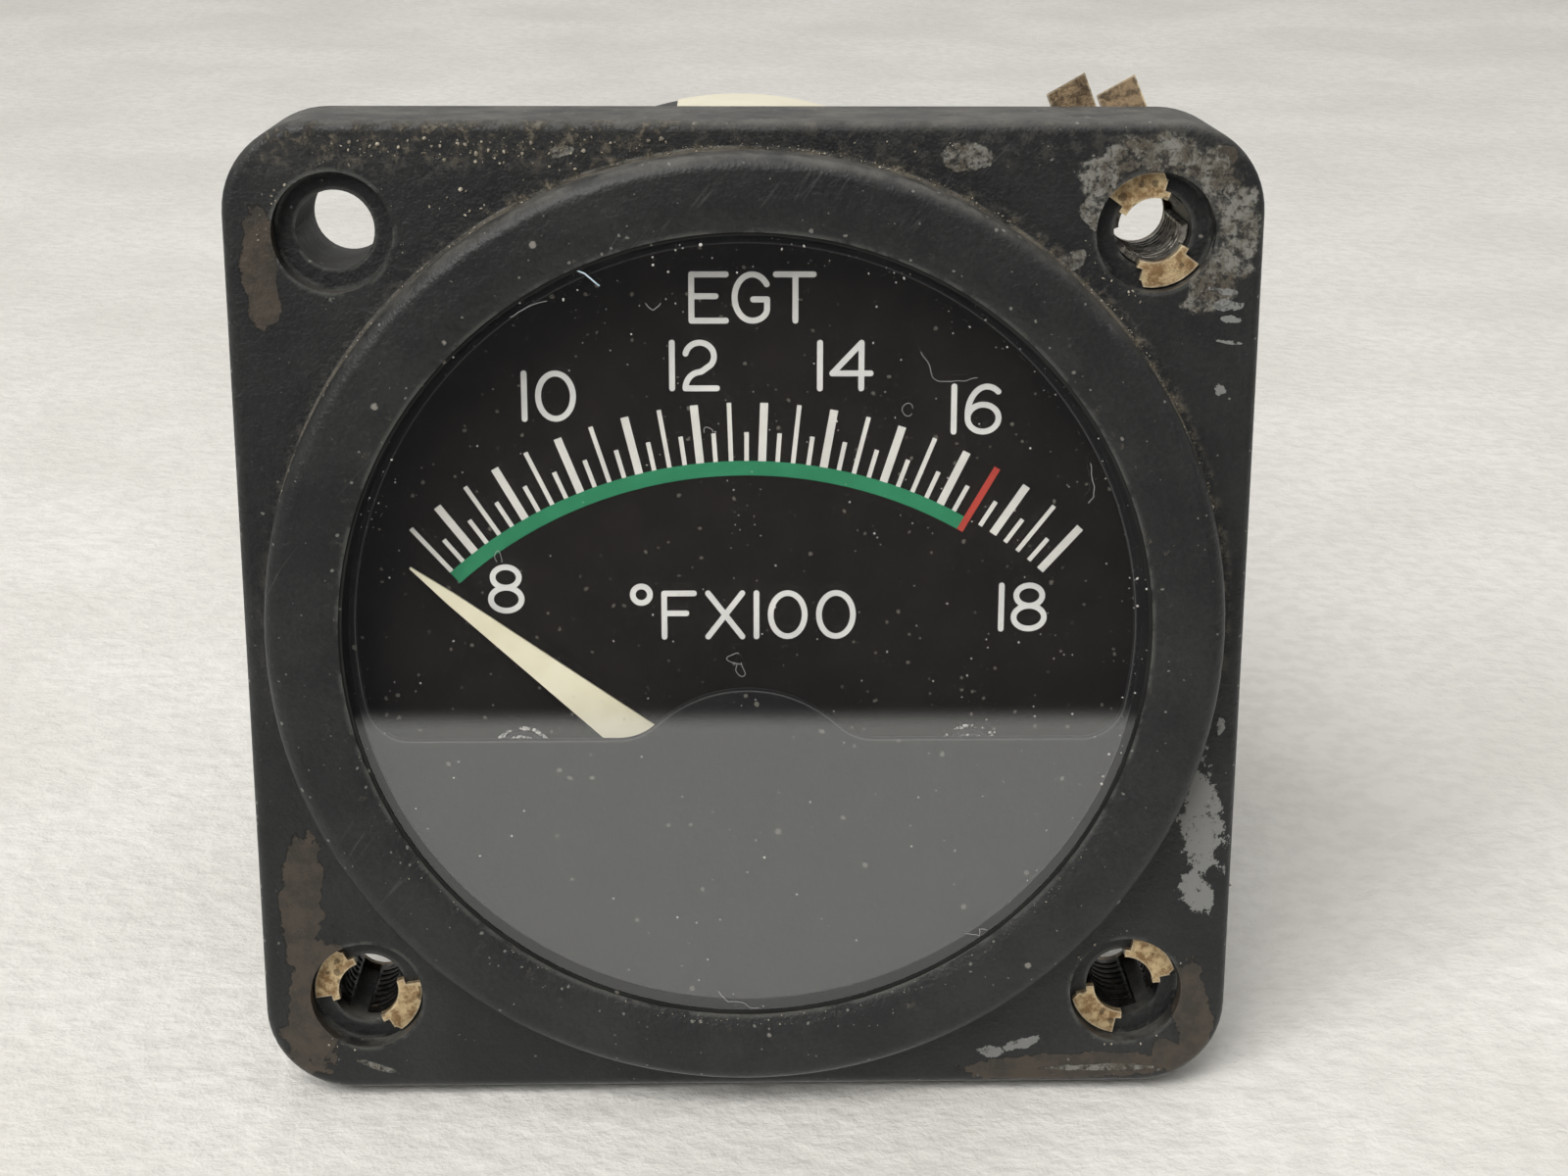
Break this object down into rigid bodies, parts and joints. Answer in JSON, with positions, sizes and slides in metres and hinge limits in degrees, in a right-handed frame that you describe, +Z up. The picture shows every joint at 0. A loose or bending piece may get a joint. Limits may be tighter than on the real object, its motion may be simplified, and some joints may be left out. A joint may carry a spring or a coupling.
{
  "type": "exhaust gas temperature gauge",
  "caption": "Round panel instrument on a square flange: a pointer sweeps a fan-shaped scale behind glass, driven by a moving-coil movement in a drawn case with two rear terminal studs.",
  "frame": {"origin": "centre of the flange's front face, on the axis of the raised ring", "axes": "+Y into the instrument, towards its terminals; +Z up; the face looks along -Y"},
  "size_m": [0.0623, 0.0844, 0.0622],
  "materials": {
    "housing_black": "satin charcoal black, finely textured, worn",
    "seal_black": "matte",
    "clear_glass": "clear, polished",
    "gasket_rubber": "matte",
    "mask_black": "matte",
    "spacer_black": "matte",
    "dial_black": "matte",
    "mark_cream": "matte ink",
    "arc_green": "matte ink",
    "line_red": "matte ink",
    "screw_black": "blackened",
    "stop_steel": "satin",
    "chassis_brass": "satin",
    "ring_aluminium": "satin",
    "yoke_iron": "satin",
    "magnet_steel": "ground",
    "clamp_brass": "satin",
    "bridge_brass": "satin",
    "screw_steel": "bright",
    "screw_brass": "bright",
    "arm_brass": "satin",
    "spring_bronze": "bright",
    "spool_plastic": "matte brown",
    "winding_wire": "enamelled wire",
    "case_black": "satin black",
    "label_paper": "matte cream paper",
    "stud_alumel": "satin",
    "stud_chromel": "satin",
    "bush_plastic": "matte dark brown",
    "washer_steel": "bright",
    "nut_steel": "bright",
    "lead_sleeve": "woven sleeving",
    "clip_brass": "satin, tarnished",
    "pointer_cream": "matte cream",
    "hub_brass": "bright",
    "weight_brass": "bright",
    "former_aluminium": "satin",
    "pivot_steel": "polished"
  },
  "bodies": {
    "instrument": {"front_housing": "housing_black", "glass_seal": "seal_black", "glass": "clear_glass", "glass_gasket": "gasket_rubber", "dial_mask": "mask_black", "mask_spacer": "spacer_black", "dial_plate": "dial_black", "scale_marks": "mark_cream", "green_arc": "arc_green", "red_line": "line_red", "dial_screws": "screw_black", "pointer_stops": "stop_steel", "movement_chassis": "chassis_brass", "clamp_ring": "ring_aluminium", "yoke_ring": "yoke_iron", "core_magnet": "magnet_steel", "core_clamps": "clamp_brass", "front_bridge": "bridge_brass", "rear_bridge": "bridge_brass", "movement_screws": "screw_steel", "front_jewel_screw": "screw_brass", "rear_jewel_screw": "screw_brass", "front_regulator": "arm_brass", "rear_regulator": "arm_brass", "front_hairspring": "spring_bronze", "rear_hairspring": "spring_bronze", "resistor_spool": "spool_plastic", "resistor_winding": "winding_wire", "resistor_screw": "screw_steel", "case": "case_black", "case_screws": "screw_steel", "case_label": "label_paper", "alumel_stud": "stud_alumel", "chromel_stud": "stud_chromel", "inner_bushes": "bush_plastic", "outer_bushes": "bush_plastic", "terminal_washers": "washer_steel", "terminal_nuts": "nut_steel", "internal_leads": "lead_sleeve", "clip_nuts": "clip_brass"},
    "pointer_assembly": {"pointer": "pointer_cream", "pointer_hub": "hub_brass", "balance_weights": "weight_brass", "coil_former": "former_aluminium", "coil_winding": "winding_wire", "front_pivot": "pivot_steel", "rear_pivot": "pivot_steel"}
  },
  "joints": [
    {"name": "pointer_sweep", "type": "hinge", "parent": "instrument", "child": "pointer_assembly", "pos_m": [0, 0, -0.0128], "axis": [0, 1, 0], "range_deg": [0, 102.2], "stiffness_Nm_per_rad": 0.00002, "springref_deg": -2.86, "deforming": ["front_hairspring", "rear_hairspring"]}
  ]
}
